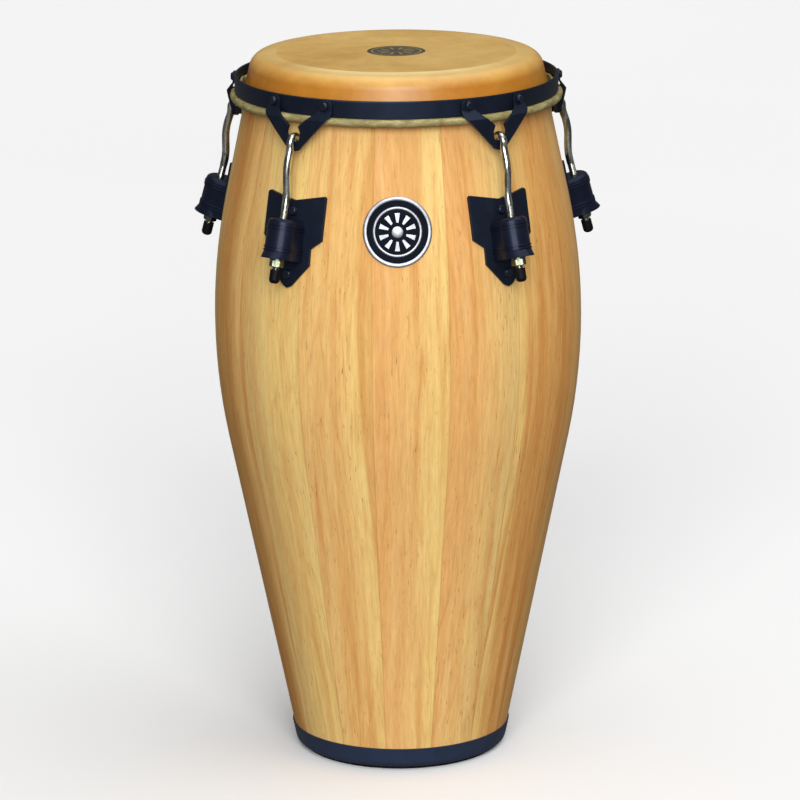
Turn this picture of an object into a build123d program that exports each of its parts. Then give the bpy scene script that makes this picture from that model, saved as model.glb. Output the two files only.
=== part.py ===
from build123d import *
from math import asin, cos, degrees, radians, sin
import os

# A tall wooden conga: a stave shell with a belly, a hide head, a steel tension ring and
# five tuning lugs. Millimetres, +Z up, origin on the axis at the floor, badge towards -Y.

# --- Shell: two straight tapers joined by one large arc at the belly
SHELL_TOP = 747.0
SHELL_BOTTOM = 4.0
BELLY_RADIUS = 193.2
BELLY_HEIGHT = 470.0
BELLY_CURVE = 640.0
UPPER_LEAN = radians(11.75)
LOWER_LEAN = radians(11.65)
WALL = 12.0
CROWN_ROUND = 14.0
HEEL_ROUND = 7.0
STAVE_COUNT = 15
STAVE_ARC = 360.0 / STAVE_COUNT
FIRST_JOINT = -8.0

# --- Foot: steel band round the heel, rubber ring under it
BAND_TOP = 25.0
BAND_THICKNESS = 1.5
BAND_LIP_RADIUS = 103.0
FOOT_INNER_RADIUS = 98.0
FOOT_OUTER_RADIUS = 106.0

# --- Head: hide over the crown, rolled round a steel wire that the ring presses down
SKIN = 2.0
HEAD_TOP = 751.0
HEAD_FLAT = 125.0
HEAD_SEAT = 136.0
HEAD_CORNER = 748.6
HEAD_ROUND = 15.5
SKIN_GAP = 0.1
COLLAR_BOTTOM = 703.0
ROLL_RADIUS = 168.5
ROLL_HEIGHT = 706.6
ROLL_SECTION = 5.3
WIRE_SECTION = 2.6
TUCK_INNER = 161.8
TUCK_OUTER = 164.6
TUCK_TOP = 722.0
RING_INNER = 166.0
RING_OUTER = 169.0
RING_BOTTOM = 710.0
RING_TOP = 728.6

# --- Hook plates: riveted to the ring, joggled out over the roll, narrowing to a bar
PLATE = 3.0
HOOK_REACH = 176.0
HOOK_JOG_TOP = 718.0
HOOK_JOG_BOTTOM = 709.0
JOG_DROP = 1.3
HOOK_TIP = 674.0
BAR_TOP = 683.9
BAR_ROUND = 1.35
HOOK_ARC = 32.0
RIVET_HEIGHT = 721.5
RIVET_SPREAD = 32.0
RIVET_SHANK = 2.5
RIVET_HEAD = 4.8
RIVET_DOME = 2.6
RIVET_FIT = 0.1
RIVET_LENGTH = RING_OUTER - RING_INNER + PLATE + 0.5
HEAD_TAPER = 25.0
HEAD_GAP = 0.1

# --- Lugs: five, evenly spaced, the badge midway between two of them
LUG_AZIMUTHS = [-36.0, 36.0, 108.0, 180.0, 252.0]
ROD_TILT = radians(15.5)
ROD_RADIUS = 4.0
ROD_BEND_REACH = 190.5
ROD_BEND_HEIGHT = 630.0
ROD_BEND_ROUND = 24.0
HOOK_INNER_LEG = 169.95
HOOK_OUTER_LEG = 183.95
HOOK_SPRING = 682.0
ROD_CRANK = 660.0
BARREL_START = 24.0
BARREL_END = 65.5
BARREL_ROUND = 16.0
BARREL_OFFSET = -1.5
BARREL_BORE = 4.6
FLARE_START = 57.5
FLARE_REACH = 20.3
BARREL_DOME = 5.0
BARREL_ARC = 60.0
BARREL_DEPTH = 60.0
BEAD_RUNS = [30.5, 33.5, 53.0, 56.0]
BEAD_HEIGHT = 0.9
BEAD_WIDTH = 1.4
WASHER = 1.2
NUT_FLATS = 13.0
NUT_HEIGHT = 6.5
CORNER_TAPER = 60.0
NUT_START = BARREL_END + WASHER + 0.2
NUT_FIT = 0.1
NUT_FACE = 0.2
CAP_START = 76.4
CAP_LENGTH = 14.0
CAP_RADIUS = 5.5
CAP_FIT = 0.05
ROD_END = 87.0

# --- Lug brackets
BRACKET_TOP = 630.0
BRACKET_TIP = 534.5
BOLT_HEIGHTS = [611.7, 548.3]
BOLT_RADIUS = 3.0
BOLT_HEAD = 5.5
BOLT_DOME = 3.2
BOLT_FIT = 0.2
BRACKET_ARC = 28.0
BACKING = 2.0
BACKING_ARC = 10.0
PLATE_GAP = 0.1
INNER_NUT_FLATS = 10.0
INNER_NUT_HEIGHT = 5.0

# --- Badge
BADGE_HEIGHT = 597.0
BADGE_RADIUS = 35.5
BADGE_THICKNESS = 1.4
BADGE_ARC = 28.0

# --- Outline cutters: how far behind a piece they start, and how long they are
TOOL_BEHIND = 50.0
TOOL_LENGTH = 80.0


def outward(azimuth):
    """Level direction away from the axis, turned from -Y towards +X."""
    return Vector(sin(radians(azimuth)), -cos(radians(azimuth)), 0)


def tangent(azimuth):
    return Vector(cos(radians(azimuth)), sin(radians(azimuth)), 0)


def section_plane(azimuth):
    """Half-plane through the axis: sketch X is the radius, sketch Y is the height."""
    return Plane(origin=(0, 0, 0), x_dir=outward(azimuth), z_dir=-tangent(azimuth))


def facing_plane(azimuth, reach):
    """Upright plane facing away from the axis: sketch Y is the height."""
    return Plane(origin=outward(azimuth) * reach, x_dir=tangent(azimuth), z_dir=outward(azimuth))


def wall_lean(height, lift=0.0):
    steepest = asin((height - BELLY_HEIGHT) / (BELLY_CURVE + lift))
    return min(max(steepest, -LOWER_LEAN), UPPER_LEAN)


def wall_radius(height, lift=0.0):
    """Radius of the barrel curve, lifted off the outer face of the wood."""
    reach = BELLY_CURVE + lift
    lean = wall_lean(height, lift)
    level = (reach - (height - BELLY_HEIGHT) * sin(lean)) / cos(lean)
    return BELLY_RADIUS - BELLY_CURVE + level


def wall_point(height, lift):
    return (wall_radius(height, lift), height)


def wall_edge(bottom, top, lift):
    """Draw the barrel curve between two heights: a taper, the belly arc, a taper."""
    low_bend = BELLY_HEIGHT - (BELLY_CURVE + lift) * sin(LOWER_LEAN)
    high_bend = BELLY_HEIGHT + (BELLY_CURVE + lift) * sin(UPPER_LEAN)
    arc_start = max(bottom, low_bend)
    arc_end = min(top, high_bend)
    if bottom < low_bend:
        Line(wall_point(bottom, lift), wall_point(min(top, low_bend), lift))
    if arc_start < arc_end:
        middle = (arc_start + arc_end) / 2
        ThreePointArc(wall_point(arc_start, lift), wall_point(middle, lift), wall_point(arc_end, lift))
    if top > high_bend:
        Line(wall_point(max(bottom, high_bend), lift), wall_point(top, lift))


def wall_strip(bottom, top, inner_lift, outer_lift):
    """Face between two lifted barrel curves."""
    with BuildLine() as border:
        wall_edge(bottom, top, inner_lift)
        wall_edge(bottom, top, outer_lift)
        Line(wall_point(bottom, inner_lift), wall_point(bottom, outer_lift))
        Line(wall_point(top, inner_lift), wall_point(top, outer_lift))
    make_face(border.edges())


def wall_normal_plane(azimuth, height, lift):
    """Plane square to the wall, at a lift above the wood, facing outward."""
    lean = wall_lean(height)
    away = outward(azimuth)
    normal = away * cos(lean) + Vector(0, 0, sin(lean))
    foot = away * wall_radius(height) + Vector(0, 0, height)
    return Plane(origin=foot + normal * lift, x_dir=tangent(azimuth), z_dir=normal)


def rod_point(run):
    """Radius and height on the straight lower part of a rod, from its bend."""
    return (ROD_BEND_REACH + run * sin(ROD_TILT), ROD_BEND_HEIGHT - run * cos(ROD_TILT))


def rod_plane(azimuth, run):
    """Plane square to the rod, facing down along it: sketch X points away from the shell."""
    reach, height = rod_point(run)
    away = outward(azimuth)
    return Plane(
        origin=away * reach + Vector(0, 0, height),
        x_dir=away * cos(ROD_TILT) + Vector(0, 0, sin(ROD_TILT)),
        z_dir=away * sin(ROD_TILT) - Vector(0, 0, cos(ROD_TILT)),
    )


def mirrored_outline(points):
    """Closed outline from its right-hand half, listed from bottom to top."""
    left = [(-across, height) for across, height in reversed(points) if across > 0]
    with BuildLine() as border:
        Polyline(*points, *left, close=True)
    make_face(border.edges())


def head_cap(*corners):
    """Half section under a skin surface, from the axis outward and down the wall."""
    bottom = corners[-1][1]
    with BuildLine() as border:
        Polyline((0, bottom), *corners, close=True)
    make_face(border.edges())


def round_head(piece, radius):
    """Round the outer rim of the tapered head that was just extruded: the largest new circle is
    the rim of its underside, the next one is the rim of its top."""
    rims = piece.edges(Select.LAST).filter_by(GeomType.CIRCLE)
    fillet(rims.sort_by(SortBy.RADIUS)[-2], radius)


def trim_corners(plane, across, amount):
    """Chamfer a hexagon's corners with a wide cone that starts at one of its end faces."""
    with BuildSketch(plane) as disc:
        Circle(across / 2)
    extrude(disc.sketch, amount=amount, taper=-CORNER_TAPER, mode=Mode.INTERSECT)


def keep(piece, name):
    piece.part.label = name
    export_step(piece.part, f"parts/{name}.step")


os.makedirs("parts", exist_ok=True)

# --- Staves: fifteen glued sectors of the wall, bored where a bracket is bolted on
for number in range(STAVE_COUNT):
    start = FIRST_JOINT + number * STAVE_ARC
    bolted = [azimuth for azimuth in LUG_AZIMUTHS if 0 < (azimuth - start) % 360 < STAVE_ARC]
    with BuildPart() as stave:
        with BuildSketch(section_plane(start)) as wall:
            wall_strip(SHELL_BOTTOM, SHELL_TOP, -WALL, 0)
            crown = wall.vertices().group_by(Axis.Y)[-1].sort_by(Axis.X)[-1]
            fillet(crown, CROWN_ROUND)
            heel = wall.vertices().group_by(Axis.Y)[0].sort_by(Axis.X)[-1]
            fillet(heel, HEEL_ROUND)
        revolve(axis=Axis.Z, revolution_arc=STAVE_ARC)
        for azimuth in bolted:
            for height in BOLT_HEIGHTS:
                with BuildSketch(wall_normal_plane(azimuth, height, 5)):
                    Circle(BOLT_RADIUS + BOLT_FIT)
                extrude(amount=-3 * WALL, mode=Mode.SUBTRACT)
    keep(stave, f"stave_{number + 1:02d}")

# --- Bottom band: steel, following the taper and turned in under the heel
with BuildPart() as bottom_band:
    with BuildSketch(section_plane(0)) as outside:
        with BuildLine():
            Polyline(
                (BAND_LIP_RADIUS, SHELL_BOTTOM - BAND_THICKNESS),
                wall_point(SHELL_BOTTOM - BAND_THICKNESS, BAND_THICKNESS),
                wall_point(BAND_TOP, BAND_THICKNESS),
                (BAND_LIP_RADIUS, BAND_TOP),
                close=True,
            )
        make_face()
        heel = outside.vertices().group_by(Axis.Y)[0].sort_by(Axis.X)[-1]
        fillet(heel, HEEL_ROUND + BAND_THICKNESS)
    revolve(axis=Axis.Z)
    with BuildSketch(section_plane(0)) as inside:
        with BuildLine():
            Polyline(
                (BAND_LIP_RADIUS - 1, SHELL_BOTTOM),
                wall_point(SHELL_BOTTOM, 0),
                wall_point(BAND_TOP + 1, 0),
                (BAND_LIP_RADIUS - 1, BAND_TOP + 1),
                close=True,
            )
        make_face()
        heel = inside.vertices().group_by(Axis.Y)[0].sort_by(Axis.X)[-1]
        fillet(heel, HEEL_ROUND)
    revolve(axis=Axis.Z, mode=Mode.SUBTRACT)
keep(bottom_band, "bottom_band")

# --- Foot ring: rubber, stepped so that it meets the wood inside the band's lip
with BuildPart() as foot_ring:
    with BuildSketch(section_plane(0)) as tread:
        with BuildLine():
            Polyline(
                (FOOT_INNER_RADIUS, 0),
                (FOOT_OUTER_RADIUS, 0),
                (FOOT_OUTER_RADIUS, SHELL_BOTTOM - BAND_THICKNESS),
                (BAND_LIP_RADIUS, SHELL_BOTTOM - BAND_THICKNESS),
                (BAND_LIP_RADIUS, SHELL_BOTTOM),
                (FOOT_INNER_RADIUS, SHELL_BOTTOM),
                close=True,
            )
        make_face()
        fillet(tread.vertices().group_by(Axis.Y)[0].sort_by(Axis.X)[-1], 1.0)
    revolve(axis=Axis.Z)
keep(foot_ring, "foot_ring")

# --- Drumhead skin: flat middle, falling slightly to a rounded crown, collar down the wood
with BuildPart() as drumhead_skin:
    with BuildSketch(section_plane(0)) as outside:
        head_cap(
            (0, HEAD_TOP),
            (HEAD_FLAT, HEAD_TOP),
            wall_point(HEAD_CORNER, SKIN),
            wall_point(COLLAR_BOTTOM, SKIN),
        )
        fillet(outside.vertices().sort_by(Axis.Y)[-3], HEAD_ROUND)
    revolve(axis=Axis.Z)
    with BuildSketch(section_plane(0)) as inside:
        head_cap(
            (0, HEAD_TOP - SKIN),
            (HEAD_FLAT, HEAD_TOP - SKIN),
            (HEAD_SEAT, SHELL_TOP + SKIN_GAP),
            wall_point(SHELL_TOP + SKIN_GAP, SKIN_GAP),
            wall_point(COLLAR_BOTTOM - 1, SKIN_GAP),
        )
        crown = inside.vertices().group_by(Axis.Y)[-2].sort_by(Axis.X)[-1]
        fillet(crown, CROWN_ROUND + SKIN_GAP)
    revolve(axis=Axis.Z, mode=Mode.SUBTRACT)
keep(drumhead_skin, "drumhead_skin")

# --- Tuck roll: the hide's edge rolled round the wire, its end standing up inside the ring
with BuildPart() as skin_tuck_roll:
    with BuildSketch(section_plane(0)) as fold:
        with Locations((ROLL_RADIUS, ROLL_HEIGHT)):
            Circle(ROLL_SECTION)
        with BuildLine():
            Polyline(
                (TUCK_INNER, ROLL_HEIGHT),
                (ROLL_RADIUS, ROLL_HEIGHT),
                (TUCK_OUTER, RING_BOTTOM),
                (TUCK_OUTER, TUCK_TOP),
                (TUCK_INNER, TUCK_TOP),
                close=True,
            )
        make_face()
        with Locations(((RING_INNER + RING_OUTER) / 2, (RING_BOTTOM + RING_TOP) / 2)):
            Rectangle(RING_OUTER - RING_INNER + 0.4, RING_TOP - RING_BOTTOM, mode=Mode.SUBTRACT)
        with Locations((ROLL_RADIUS, ROLL_HEIGHT)):
            Circle(WIRE_SECTION + 0.1, mode=Mode.SUBTRACT)
        with Locations((ROLL_RADIUS - ROLL_SECTION, ROLL_HEIGHT - 1)):
            Rectangle(2 * ROLL_SECTION, 0.8, mode=Mode.SUBTRACT)
    revolve(axis=Axis.Z)
keep(skin_tuck_roll, "skin_tuck_roll")

# --- Flesh hoop wire: plain steel ring inside the roll
with BuildPart() as flesh_hoop_wire:
    with BuildSketch(section_plane(0)):
        with Locations((ROLL_RADIUS, ROLL_HEIGHT)):
            Circle(WIRE_SECTION)
    revolve(axis=Axis.Z)
keep(flesh_hoop_wire, "flesh_hoop_wire")

# --- Tension ring: flat steel hoop, edges eased, bored for the rivets
RIVET_PITCH = degrees(asin(RIVET_SPREAD / (RING_OUTER + PLATE)))
RIVET_AZIMUTHS = [azimuth + side * RIVET_PITCH for azimuth in LUG_AZIMUTHS for side in (-1, 1)]

with BuildPart() as tension_ring:
    with BuildSketch(section_plane(0)) as band:
        with Locations(((RING_INNER + RING_OUTER) / 2, (RING_BOTTOM + RING_TOP) / 2)):
            Rectangle(RING_OUTER - RING_INNER, RING_TOP - RING_BOTTOM)
        fillet(band.vertices(), 1.0)
    revolve(axis=Axis.Z)
    for azimuth in RIVET_AZIMUTHS:
        with BuildSketch(facing_plane(azimuth, RING_INNER - RIVET_LENGTH)):
            with Locations((0, RIVET_HEIGHT)):
                Circle(RIVET_SHANK + RIVET_FIT)
        extrude(amount=3 * RIVET_LENGTH, mode=Mode.SUBTRACT)
keep(tension_ring, "tension_ring")

# --- Hook rivets: two for each plate, domed outside, flush inside
with BuildPart() as hook_rivets:
    for azimuth in RIVET_AZIMUTHS:
        with BuildSketch(facing_plane(azimuth, RING_INNER)):
            with Locations((0, RIVET_HEIGHT)):
                Circle(RIVET_SHANK)
        extrude(amount=RIVET_LENGTH)
        with BuildSketch(facing_plane(azimuth, RING_OUTER + PLATE + HEAD_GAP)):
            with Locations((0, RIVET_HEIGHT)):
                Circle(RIVET_HEAD)
        extrude(amount=RIVET_DOME, taper=HEAD_TAPER)
        round_head(hook_rivets, RIVET_DOME / 3)
keep(hook_rivets, "hook_rivets")

# --- Hook plates: one for each lug, a V with a keyhole for the rod over its bottom bar
HOOK_HALF = [
    (0, HOOK_TIP),
    (6, HOOK_TIP + 1),
    (RIVET_SPREAD + 8.5, RING_BOTTOM + 1),
    (RIVET_SPREAD + 8, RING_TOP - 1.5),
    (RIVET_SPREAD - 8, RING_TOP - 1.5),
    (RIVET_SPREAD - 8, RING_BOTTOM + 5),
    (6, BAR_TOP + 16),
    (8.5, BAR_TOP + 9),
    (6.5, BAR_TOP),
    (0, BAR_TOP),
]

for number, azimuth in enumerate(LUG_AZIMUTHS):
    with BuildPart() as hook_plate:
        with BuildSketch(section_plane(azimuth - HOOK_ARC / 2)):
            with BuildLine():
                Polyline(
                    (RING_OUTER, RING_TOP),
                    (RING_OUTER, HOOK_JOG_TOP),
                    (HOOK_REACH, HOOK_JOG_BOTTOM),
                    (HOOK_REACH, HOOK_TIP),
                    (HOOK_REACH + PLATE, HOOK_TIP),
                    (HOOK_REACH + PLATE, HOOK_JOG_BOTTOM - JOG_DROP),
                    (RING_OUTER + PLATE, HOOK_JOG_TOP - JOG_DROP),
                    (RING_OUTER + PLATE, RING_TOP),
                    close=True,
                )
            make_face()
        revolve(axis=Axis.Z, revolution_arc=HOOK_ARC)
        with BuildSketch(facing_plane(azimuth, RING_INNER - TOOL_BEHIND)) as outline:
            mirrored_outline(HOOK_HALF)
            tabs = outline.vertices().group_by(Axis.Y)[-1]
            fillet(tabs, 5.0)
            tip = outline.vertices().group_by(Axis.Y)[1]
            fillet(tip, 4.0)
        extrude(amount=TOOL_LENGTH, mode=Mode.INTERSECT)
        for side in (-1, 1):
            with BuildSketch(facing_plane(azimuth + side * RIVET_PITCH, RING_INNER)):
                with Locations((0, RIVET_HEIGHT)):
                    Circle(RIVET_SHANK + RIVET_FIT)
            extrude(amount=2 * RIVET_LENGTH, mode=Mode.SUBTRACT)
        bar = hook_plate.edges().filter_by_position(Axis.Z, BAR_TOP - 0.01, BAR_TOP + 0.01)
        fillet(bar.sort_by(SortBy.LENGTH)[-2:], BAR_ROUND)
    keep(hook_plate, f"hook_plate_{number + 1}")

# --- Tension rods: hooked over the bar, cranked out, then straight and tilted to the nut
HOOK_BEND = (HOOK_OUTER_LEG - HOOK_INNER_LEG) / 2
HOOK_CENTRE = (HOOK_OUTER_LEG + HOOK_INNER_LEG) / 2

for number, azimuth in enumerate(LUG_AZIMUTHS):
    with BuildPart() as tension_rod:
        with BuildLine(section_plane(azimuth)) as bend:
            Line((HOOK_INNER_LEG, HOOK_TIP + 2), (HOOK_INNER_LEG, HOOK_SPRING))
            ThreePointArc(
                (HOOK_INNER_LEG, HOOK_SPRING),
                (HOOK_CENTRE, HOOK_SPRING + HOOK_BEND),
                (HOOK_OUTER_LEG, HOOK_SPRING),
            )
            FilletPolyline(
                (HOOK_OUTER_LEG, HOOK_SPRING),
                (HOOK_OUTER_LEG, HOOK_SPRING - 5),
                (ROD_BEND_REACH, ROD_CRANK),
                (ROD_BEND_REACH, ROD_BEND_HEIGHT),
                rod_point(ROD_END),
                radius=ROD_BEND_ROUND,
            )
        with BuildSketch(Plane(origin=bend.wire() @ 0, z_dir=bend.wire() % 0)):
            Circle(ROD_RADIUS)
        sweep(path=bend.wire())
    keep(tension_rod, f"tension_rod_{number + 1}")

# --- Rod caps: soft rubber ends below the nuts
for number, azimuth in enumerate(LUG_AZIMUTHS):
    with BuildPart() as rod_cap:
        with BuildSketch(rod_plane(azimuth, CAP_START)):
            Circle(CAP_RADIUS)
        extrude(amount=CAP_LENGTH)
        fillet(rod_cap.edges().sort_by(Axis.Z)[0], 4.0)
        with BuildSketch(rod_plane(azimuth, CAP_START)):
            Circle(ROD_RADIUS + CAP_FIT)
        extrude(amount=ROD_END - CAP_START + CAP_FIT, mode=Mode.SUBTRACT)
    keep(rod_cap, f"rod_cap_{number + 1}")

# --- Tuning nuts: hexagons under the lugs
for number, azimuth in enumerate(LUG_AZIMUTHS):
    with BuildPart() as tuning_nut:
        with BuildSketch(rod_plane(azimuth, NUT_START)):
            RegularPolygon(NUT_FLATS / 2, 6, major_radius=False)
            Circle(ROD_RADIUS + NUT_FIT, mode=Mode.SUBTRACT)
        extrude(amount=NUT_HEIGHT)
        trim_corners(rod_plane(azimuth, NUT_START), NUT_FLATS + NUT_FACE, NUT_HEIGHT)
        far_face = rod_plane(azimuth, NUT_START + NUT_HEIGHT)
        far_face = Plane(origin=far_face.origin, x_dir=far_face.x_dir, z_dir=-far_face.z_dir)
        trim_corners(far_face, NUT_FLATS + NUT_FACE, NUT_HEIGHT)
    keep(tuning_nut, f"tuning_nut_{number + 1}")

# --- Nut washers: one under each lug
with BuildPart() as nut_washers:
    for azimuth in LUG_AZIMUTHS:
        with BuildSketch(rod_plane(azimuth, BARREL_END + 0.05)):
            Circle(NUT_FLATS / 2 + 1.5)
            Circle(ROD_RADIUS + 0.5, mode=Mode.SUBTRACT)
        extrude(amount=WASHER)
keep(nut_washers, "nut_washers")

# --- Lug plates: curved with the wood, wide shoulders with a dipped top, narrow foot
BRACKET_HALF = [
    (0, BRACKET_TIP),
    (5, BRACKET_TIP + 2),
    (24.5, BRACKET_TIP + 24),
    (24.5, BRACKET_TIP + 41),
    (36.5, BRACKET_TIP + 50),
    (36.5, BRACKET_TOP),
    (0, BRACKET_TOP - 7),
]

for number, azimuth in enumerate(LUG_AZIMUTHS):
    with BuildPart() as lug_plate:
        with BuildSketch(section_plane(azimuth - BRACKET_ARC / 2)):
            wall_strip(BRACKET_TIP - 2, BRACKET_TOP + 2, PLATE_GAP, PLATE)
        revolve(axis=Axis.Z, revolution_arc=BRACKET_ARC)
        with BuildSketch(facing_plane(azimuth, BELLY_RADIUS - TOOL_BEHIND)) as outline:
            mirrored_outline(BRACKET_HALF)
            shoulders = outline.vertices().group_by(Axis.Y)[-1]
            fillet(shoulders, 3.0)
            tip = outline.vertices().group_by(Axis.Y)[1]
            fillet(tip, 4.0)
        extrude(amount=TOOL_LENGTH, mode=Mode.INTERSECT)
        for height in BOLT_HEIGHTS:
            with BuildSketch(wall_normal_plane(azimuth, height, 2 * PLATE)):
                Circle(BOLT_RADIUS + BOLT_FIT)
            extrude(amount=-4 * PLATE, mode=Mode.SUBTRACT)
    keep(lug_plate, f"lug_plate_{number + 1}")

# --- Lug barrels: round-fronted housings on the plates, domed, beaded and flared at the mouth
for number, azimuth in enumerate(LUG_AZIMUTHS):
    with BuildPart() as lug_barrel:
        with BuildSketch(rod_plane(azimuth, BARREL_START)):
            with Locations((BARREL_OFFSET, 0)):
                Circle(BARREL_ROUND)
            with Locations((BARREL_OFFSET - BARREL_ROUND, 0)):
                Rectangle(2 * BARREL_ROUND, 2 * BARREL_ROUND)
        extrude(amount=BARREL_END - BARREL_START)
        fillet(lug_barrel.edges().filter_by(GeomType.CIRCLE).sort_by(Axis.Z)[-1], BARREL_DOME)
        for run in BEAD_RUNS:
            with BuildSketch(rod_plane(azimuth, run)):
                with Locations((BARREL_OFFSET, 0)):
                    Circle(BARREL_ROUND + BEAD_HEIGHT)
                with Locations((BARREL_OFFSET - BARREL_ROUND, 0)):
                    Rectangle(2 * BARREL_ROUND, 2 * (BARREL_ROUND + BEAD_HEIGHT))
            extrude(amount=BEAD_WIDTH)
        with BuildSketch(rod_plane(azimuth, FLARE_START)):
            with Locations((BARREL_OFFSET, 0)):
                Circle(BARREL_ROUND)
        with BuildSketch(rod_plane(azimuth, BARREL_END)):
            with Locations((BARREL_OFFSET, 0)):
                Ellipse(FLARE_REACH, BARREL_ROUND + 1)
        loft()
        with BuildSketch(section_plane(azimuth - BARREL_ARC / 2)):
            wall_strip(BRACKET_TIP - 60, BRACKET_TOP + 30, -BARREL_DEPTH, PLATE)
        revolve(axis=Axis.Z, revolution_arc=BARREL_ARC, mode=Mode.SUBTRACT)
        with BuildSketch(rod_plane(azimuth, BARREL_START - 10)):
            Circle(BARREL_BORE)
        extrude(amount=BARREL_END - BARREL_START + 20, mode=Mode.SUBTRACT)
    keep(lug_barrel, f"lug_barrel_{number + 1}")

# --- Backing plates: strips inside the wood that the bracket bolts clamp against
with BuildPart() as backing_plates:
    for azimuth in LUG_AZIMUTHS:
        with BuildSketch(section_plane(azimuth - BACKING_ARC / 2)):
            wall_strip(BRACKET_TIP, BRACKET_TOP, -WALL - BACKING - PLATE_GAP, -WALL - PLATE_GAP)
        revolve(axis=Axis.Z, revolution_arc=BACKING_ARC)
    for azimuth in LUG_AZIMUTHS:
        for height in BOLT_HEIGHTS:
            with BuildSketch(wall_normal_plane(azimuth, height, -WALL)):
                Circle(BOLT_RADIUS + BOLT_FIT)
            extrude(amount=-3 * BACKING, both=True, mode=Mode.SUBTRACT)
keep(backing_plates, "backing_plates")

# --- Bracket bolts: domed heads outside, shanks through the wood
BOLT_LENGTH = PLATE + WALL + BACKING + INNER_NUT_HEIGHT + 1.0

with BuildPart() as bracket_bolts:
    for azimuth in LUG_AZIMUTHS:
        for height in BOLT_HEIGHTS:
            with BuildSketch(wall_normal_plane(azimuth, height, PLATE + HEAD_GAP)):
                Circle(BOLT_RADIUS)
            extrude(amount=-BOLT_LENGTH)
            with BuildSketch(wall_normal_plane(azimuth, height, PLATE + HEAD_GAP)):
                Circle(BOLT_HEAD)
            extrude(amount=BOLT_DOME, taper=HEAD_TAPER)
            round_head(bracket_bolts, BOLT_DOME / 3)
keep(bracket_bolts, "bracket_bolts")

# --- Bracket nuts: plain hexagons inside the shell
with BuildPart() as bracket_nuts:
    for azimuth in LUG_AZIMUTHS:
        for height in BOLT_HEIGHTS:
            with BuildSketch(wall_normal_plane(azimuth, height, -WALL - BACKING - 0.4)):
                RegularPolygon(INNER_NUT_FLATS / 2, 6, major_radius=False)
                Circle(BOLT_RADIUS + 0.1, mode=Mode.SUBTRACT)
            extrude(amount=-INNER_NUT_HEIGHT)
keep(bracket_nuts, "bracket_nuts")

# --- Badge: thin round plate curved with the wood
with BuildPart() as badge:
    with BuildSketch(section_plane(-BADGE_ARC / 2)):
        wall_strip(BADGE_HEIGHT - 40, BADGE_HEIGHT + 40, PLATE_GAP, BADGE_THICKNESS)
    revolve(axis=Axis.Z, revolution_arc=BADGE_ARC)
    with BuildSketch(facing_plane(0, BELLY_RADIUS - TOOL_BEHIND)):
        with Locations((0, BADGE_HEIGHT)):
            Circle(BADGE_RADIUS)
    extrude(amount=TOOL_LENGTH, mode=Mode.INTERSECT)
keep(badge, "badge")
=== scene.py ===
from math import asin, ceil, cos, degrees, pi, radians, sin, tan

import bpy
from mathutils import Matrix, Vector, noise


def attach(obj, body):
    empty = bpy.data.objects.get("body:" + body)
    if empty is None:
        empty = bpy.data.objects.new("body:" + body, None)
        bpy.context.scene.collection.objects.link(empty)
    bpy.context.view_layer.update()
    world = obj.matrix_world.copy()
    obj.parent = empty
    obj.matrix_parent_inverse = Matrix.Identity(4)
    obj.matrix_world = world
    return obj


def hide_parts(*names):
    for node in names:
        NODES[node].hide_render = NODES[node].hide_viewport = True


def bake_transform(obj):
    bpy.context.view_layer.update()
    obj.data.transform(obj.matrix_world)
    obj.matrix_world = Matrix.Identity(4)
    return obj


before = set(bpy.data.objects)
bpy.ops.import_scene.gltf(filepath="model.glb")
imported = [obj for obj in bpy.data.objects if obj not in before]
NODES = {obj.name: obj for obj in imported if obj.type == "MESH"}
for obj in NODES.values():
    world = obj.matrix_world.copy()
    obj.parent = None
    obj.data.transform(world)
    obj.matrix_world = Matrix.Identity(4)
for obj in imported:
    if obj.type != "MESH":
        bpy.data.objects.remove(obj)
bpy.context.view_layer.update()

MM = 0.001

# ---------------------------------------------------------------- driving dimensions, millimetres
# Heights are above the floor, and radii and reaches are from the drum's axis.
SHELL_TOP = 747.0
BELLY_RADIUS = 193.2
BELLY_HEIGHT = 470.0
BELLY_CURVE = 640.0             # radius of the arc between the wall's two straight tapers
UPPER_LEAN = radians(11.75)
LOWER_LEAN = radians(11.65)

STAVE_COUNT = 15
STAVE_ARC = 360.0 / STAVE_COUNT
FIRST_JOINT = -8.0              # azimuth, degrees
STAVE_WIDTH = 81.0              # about the widest, at the belly

SKIN = 2.0
SKIN_GAP = 0.15                 # between the skin and the wood
HEAD_TOP = 751.0
HEAD_FLAT = 125.0               # radius of the level part
HEAD_CORNER = 748.6             # where the shoulder's slope would meet the wall
HEAD_ROUND = 15.5
CROWN_ROUND = 14.0
PLEAT_RUN = 40.0                # height over which the pleats grow, down from the shell's top
COLLAR_BOTTOM = 706.5
HEM_COVE = 1.8                  # radius of the hem's outer turn
HEM_REACH = 165.0               # where the hem ends, inside the rolled edge
HIDE_FADE = (753.0, 723.0)      # heights between which the top's colour turns into the collar's
SHOULDER_HIGHLIGHT_RADII = (124.4, 126.0, 140.0, 150.0)   # radii of the painted highlight band round the shoulder: starts, full, half, gone
EDGE_SHADE = (700.5, 706.5)     # heights between which painted shade darkens the underside of the roll
PRINT_RADIUS = 30.5
PRINT_FLOOR = 748.4             # nothing lower than this is printed
PRINT_RING = (25.5, 0.8)        # middle radius and half the width
PRINT_RAY = (14.0, 5.5)         # middle radius and half the length
MARK_RAYS = 10                  # in the print and in the badge

ROLL_RADIUS = 168.5
ROLL_HEIGHT = 706.6
ROLL_SECTION = 5.0
TUCK_INNER = 162.0
TUCK_OUTER = 164.6
TUCK_TOP = 721.0
RING_BOTTOM = 710.0
RING_SEAT_OUT = 169.3           # where the hide leaves the underside of the ring

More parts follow.
